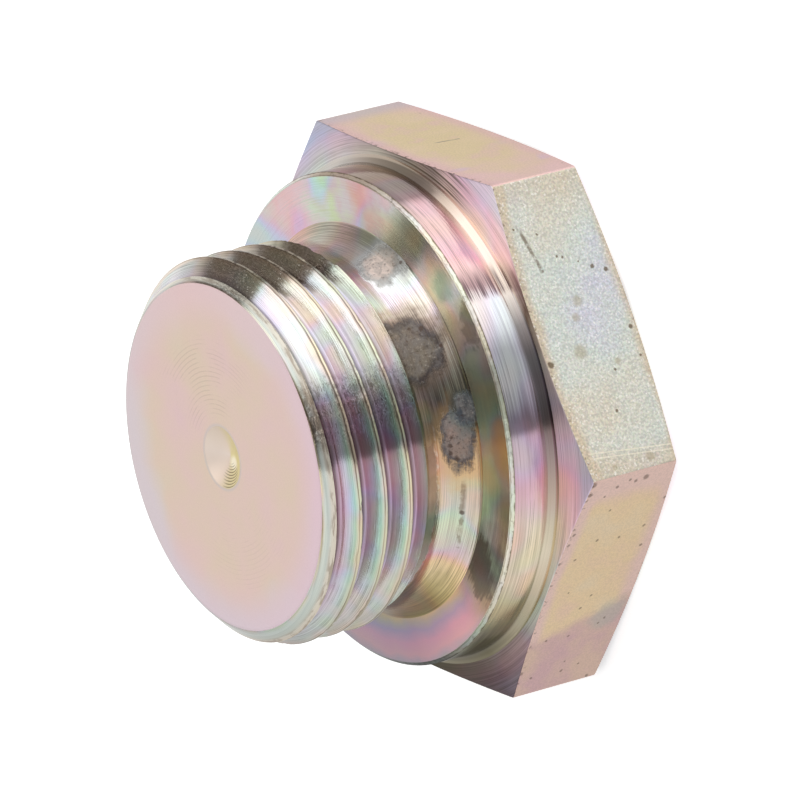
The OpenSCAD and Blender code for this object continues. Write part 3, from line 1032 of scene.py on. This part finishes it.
def white_floor():
    """White, with a glow for the camera, so that the floor fades into the backdrop."""
    material = bpy.data.materials.new("floor_white")
    bench = Bench(material)
    camera_ray = bench.node("LightPath", None, None, "Is Camera Ray")
    plain = bench.node("BsdfDiffuse", None, {"Color": rgba(0.8)})
    glow = bench.node("Emission", None, {"Color": rgba(1.0), "Strength": FLOOR_GLOW})
    both = bench.node("AddShader", None, {0: plain, 1: glow})
    shader = bench.node("MixShader", None, {0: camera_ray, 1: plain, 2: both})
    bench.node("OutputMaterial", None, {"Surface": shader})
    return material


def studio():
    """Panels that stand round the plug, pale from all sides, with a dark gap towards the camera."""
    world = bpy.data.worlds.new("studio")
    bench = Bench(world)
    ray = bench.node("TexCoord", None, None, "Generated")
    x, y, z = bench.parts(ray)
    along = x * math.cos(VIEW_TURN) + y * math.sin(VIEW_TURN)
    across = y * math.cos(VIEW_TURN) - x * math.sin(VIEW_TURN)
    # Angle of the upright face in which the camera sees the panel
    angle = bench.number("ARCTAN2", across, along + math.cos(VIEW_HEIGHT)) / math.tau + 0.5
    panels = bench.ramp(angle, by_angle(
        (-180, 0.8), (-100, 0.7), (-85, 0.74), (-60, 0.86), (-36, 0.88), (-18, 0.86), (-12.2, 0.78),
        (-11.2, 0.25), (0, 0.24), (6, 0.32), (10, 0.6), (14, 0.95), (19, 1.15), (26, 1.3), (32, 1.35),
        (42, 1.3), (49.5, 1.15), (51.7, 0.95), (52.6, 0.46), (60, 0.4), (67, 0.42), (74, 0.54),
        (84, 0.8), (96, 1.0), (112, 0.92)))
    # Table, for the rays that go down
    table = bench.ramp(angle, by_angle(
        (-180, 0.4), (-14, 0.3), (-9, 0.3), (0, 0.42), (9, 0.46), (12, 0.85), (20, 0.95), (30, 0.95),
        (50, 0.45), (56, 0.38)))
    table = bench.mix(bench.between(z, -0.25, -0.5), 0.0, table)
    panels = bench.mix(1.0, panels, table, "LIGHTEN")
    # Panel that the level faces show to the camera
    opposite = z * math.sin(VIEW_HEIGHT) - along * math.cos(VIEW_HEIGHT)
    above = bench.between(opposite, math.cos(math.radians(26)), math.cos(math.radians(10)))
    panels = bench.mix(above, panels, 1.05)
    lit = bench.node("Background", None, {"Color": panels})
    pale = bench.node("Background", None, {"Color": rgba(1.0)})
    camera_ray = bench.node("LightPath", None, None, "Is Camera Ray")
    shader = bench.node("MixShader", None, {0: camera_ray, 1: lit, 2: pale})
    bench.node("OutputWorld", None, {"Surface": shader})
    return world


scene = bpy.context.scene

camera_data = bpy.data.cameras.new("camera")
camera_data.lens = 360
camera_data.sensor_width = 36
camera_data.clip_start = 0.01
camera_data.clip_end = 10
camera = bpy.data.objects.new("camera", camera_data)
camera.location = CAMERA_PLACE
camera.rotation_euler = tuple(math.radians(a) for a in CAMERA_ROTATION)
scene.collection.objects.link(camera)
scene.camera = camera

deselect()
bpy.ops.mesh.primitive_plane_add(size=FLOOR_SIZE, location=(0, 0, 0))
floor = bpy.context.object
floor.name = "floor"
floor.visible_glossy = False
floor.data.materials.append(white_floor())

scene.world = studio()

lamp_data = bpy.data.lights.new("side_lamp", "AREA")
lamp_data.shape = "DISK"
lamp_data.size = LAMP_SIZE
lamp_data.energy = LAMP_POWER
lamp = bpy.data.objects.new("side_lamp", lamp_data)
lamp.location = LAMP_SIDE * LAMP_DISTANCE
lamp.rotation_euler = LAMP_SIDE.to_track_quat("Z", "Y").to_euler()
lamp.visible_glossy = False
scene.collection.objects.link(lamp)

scene.view_settings.view_transform = "Standard"
